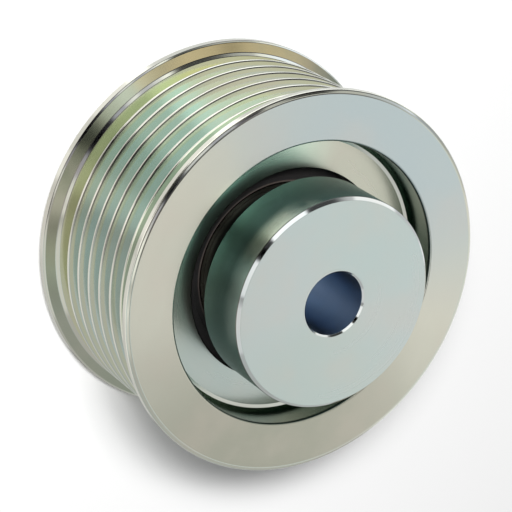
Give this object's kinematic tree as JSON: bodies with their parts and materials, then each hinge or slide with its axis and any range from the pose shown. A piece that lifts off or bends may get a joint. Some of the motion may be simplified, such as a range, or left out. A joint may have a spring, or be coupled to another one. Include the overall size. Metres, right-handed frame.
{
  "type": "belt tensioner pulley",
  "caption": "Grooved idler pulley for a ribbed belt: flanged steel drum on a sealed double-row ball bearing with a headed, through-bored hub.",
  "frame": {"origin": "centre of the through bore on the rear seating face, on which the pulley stands", "axes": "+Z along the pulley's axis, from the rear seating face towards the hub's head"},
  "size_m": [0.0634, 0.0634, 0.0391],
  "materials": {
    "drum_zinc": "turned steel, bright zinc plating with a pale blue to straw passivation",
    "retainer_zinc": "flat turned steel ring, bright zinc plating",
    "hub_zinc": "turned steel, bright zinc plating with a blue cast",
    "bearing_steel": "ground and polished bearing steel",
    "seal_rubber": "black moulded rubber",
    "cage_polyamide": "natural glass-filled polyamide"
  },
  "bodies": {
    "hub_assembly": {"hub": "hub_zinc", "rear_collar": "hub_zinc", "bearing_inner_ring": "bearing_steel"},
    "drum_assembly": {"drum": "drum_zinc", "retaining_ring": "retainer_zinc", "bearing_outer_ring": "bearing_steel", "seal_front": "seal_rubber", "seal_rear": "seal_rubber"},
    "cage_front_body": {"cage_front": "cage_polyamide"},
    "ball_front_1_body": {"ball_front_1": "bearing_steel"},
    "ball_front_2_body": {"ball_front_2": "bearing_steel"},
    "ball_front_3_body": {"ball_front_3": "bearing_steel"},
    "ball_front_4_body": {"ball_front_4": "bearing_steel"},
    "ball_front_5_body": {"ball_front_5": "bearing_steel"},
    "ball_front_6_body": {"ball_front_6": "bearing_steel"},
    "ball_front_7_body": {"ball_front_7": "bearing_steel"},
    "ball_front_8_body": {"ball_front_8": "bearing_steel"},
    "cage_rear_body": {"cage_rear": "cage_polyamide"},
    "ball_rear_1_body": {"ball_rear_1": "bearing_steel"},
    "ball_rear_2_body": {"ball_rear_2": "bearing_steel"},
    "ball_rear_3_body": {"ball_rear_3": "bearing_steel"},
    "ball_rear_4_body": {"ball_rear_4": "bearing_steel"},
    "ball_rear_5_body": {"ball_rear_5": "bearing_steel"},
    "ball_rear_6_body": {"ball_rear_6": "bearing_steel"},
    "ball_rear_7_body": {"ball_rear_7": "bearing_steel"},
    "ball_rear_8_body": {"ball_rear_8": "bearing_steel"}
  },
  "joints": [
    {"name": "drum_spin", "type": "hinge", "parent": "hub_assembly", "child": "drum_assembly", "pos_m": [0, 0, 0], "axis": [0, 0, 1], "continuous": true},
    {"name": "cage_front_spin", "type": "hinge", "parent": "hub_assembly", "child": "cage_front_body", "pos_m": [0, 0, 0], "axis": [0, 0, 1], "continuous": true},
    {"name": "ball_front_1_spin", "type": "hinge", "parent": "cage_front_body", "child": "ball_front_1_body", "pos_m": [0.01675, 0, 0.0171], "axis": [0, 0, 1], "continuous": true},
    {"name": "ball_front_2_spin", "type": "hinge", "parent": "cage_front_body", "child": "ball_front_2_body", "pos_m": [0.01184, 0.01184, 0.0171], "axis": [0, 0, 1], "continuous": true},
    {"name": "ball_front_3_spin", "type": "hinge", "parent": "cage_front_body", "child": "ball_front_3_body", "pos_m": [0, 0.01675, 0.0171], "axis": [0, 0, 1], "continuous": true},
    {"name": "ball_front_4_spin", "type": "hinge", "parent": "cage_front_body", "child": "ball_front_4_body", "pos_m": [-0.01184, 0.01184, 0.0171], "axis": [0, 0, 1], "continuous": true},
    {"name": "ball_front_5_spin", "type": "hinge", "parent": "cage_front_body", "child": "ball_front_5_body", "pos_m": [-0.01675, 0, 0.0171], "axis": [0, 0, 1], "continuous": true},
    {"name": "ball_front_6_spin", "type": "hinge", "parent": "cage_front_body", "child": "ball_front_6_body", "pos_m": [-0.01184, -0.01184, 0.0171], "axis": [0, 0, 1], "continuous": true},
    {"name": "ball_front_7_spin", "type": "hinge", "parent": "cage_front_body", "child": "ball_front_7_body", "pos_m": [0, -0.01675, 0.0171], "axis": [0, 0, 1], "continuous": true},
    {"name": "ball_front_8_spin", "type": "hinge", "parent": "cage_front_body", "child": "ball_front_8_body", "pos_m": [0.01184, -0.01184, 0.0171], "axis": [0, 0, 1], "continuous": true},
    {"name": "cage_rear_spin", "type": "hinge", "parent": "hub_assembly", "child": "cage_rear_body", "pos_m": [0, 0, 0], "axis": [0, 0, 1], "continuous": true},
    {"name": "ball_rear_1_spin", "type": "hinge", "parent": "cage_rear_body", "child": "ball_rear_1_body", "pos_m": [0.01547, 0.00641, 0.0093], "axis": [0, 0, 1], "continuous": true},
    {"name": "ball_rear_2_spin", "type": "hinge", "parent": "cage_rear_body", "child": "ball_rear_2_body", "pos_m": [0.00641, 0.01547, 0.0093], "axis": [0, 0, 1], "continuous": true},
    {"name": "ball_rear_3_spin", "type": "hinge", "parent": "cage_rear_body", "child": "ball_rear_3_body", "pos_m": [-0.00641, 0.01547, 0.0093], "axis": [0, 0, 1], "continuous": true},
    {"name": "ball_rear_4_spin", "type": "hinge", "parent": "cage_rear_body", "child": "ball_rear_4_body", "pos_m": [-0.01547, 0.00641, 0.0093], "axis": [0, 0, 1], "continuous": true},
    {"name": "ball_rear_5_spin", "type": "hinge", "parent": "cage_rear_body", "child": "ball_rear_5_body", "pos_m": [-0.01547, -0.00641, 0.0093], "axis": [0, 0, 1], "continuous": true},
    {"name": "ball_rear_6_spin", "type": "hinge", "parent": "cage_rear_body", "child": "ball_rear_6_body", "pos_m": [-0.00641, -0.01547, 0.0093], "axis": [0, 0, 1], "continuous": true},
    {"name": "ball_rear_7_spin", "type": "hinge", "parent": "cage_rear_body", "child": "ball_rear_7_body", "pos_m": [0.00641, -0.01547, 0.0093], "axis": [0, 0, 1], "continuous": true},
    {"name": "ball_rear_8_spin", "type": "hinge", "parent": "cage_rear_body", "child": "ball_rear_8_body", "pos_m": [0.01547, -0.00641, 0.0093], "axis": [0, 0, 1], "continuous": true}
  ],
  "couplings": [
    {"joint": "cage_front_spin", "follows": "drum_spin", "ratio": 0.59478},
    {"joint": "ball_front_1_spin", "follows": "drum_spin", "ratio": 2.543},
    {"joint": "ball_front_2_spin", "follows": "drum_spin", "ratio": 2.543},
    {"joint": "ball_front_3_spin", "follows": "drum_spin", "ratio": 2.543},
    {"joint": "ball_front_4_spin", "follows": "drum_spin", "ratio": 2.543},
    {"joint": "ball_front_5_spin", "follows": "drum_spin", "ratio": 2.543},
    {"joint": "ball_front_6_spin", "follows": "drum_spin", "ratio": 2.543},
    {"joint": "ball_front_7_spin", "follows": "drum_spin", "ratio": 2.543},
    {"joint": "ball_front_8_spin", "follows": "drum_spin", "ratio": 2.543},
    {"joint": "cage_rear_spin", "follows": "drum_spin", "ratio": 0.59478},
    {"joint": "ball_rear_1_spin", "follows": "drum_spin", "ratio": 2.543},
    {"joint": "ball_rear_2_spin", "follows": "drum_spin", "ratio": 2.543},
    {"joint": "ball_rear_3_spin", "follows": "drum_spin", "ratio": 2.543},
    {"joint": "ball_rear_4_spin", "follows": "drum_spin", "ratio": 2.543},
    {"joint": "ball_rear_5_spin", "follows": "drum_spin", "ratio": 2.543},
    {"joint": "ball_rear_6_spin", "follows": "drum_spin", "ratio": 2.543},
    {"joint": "ball_rear_7_spin", "follows": "drum_spin", "ratio": 2.543},
    {"joint": "ball_rear_8_spin", "follows": "drum_spin", "ratio": 2.543}
  ]
}
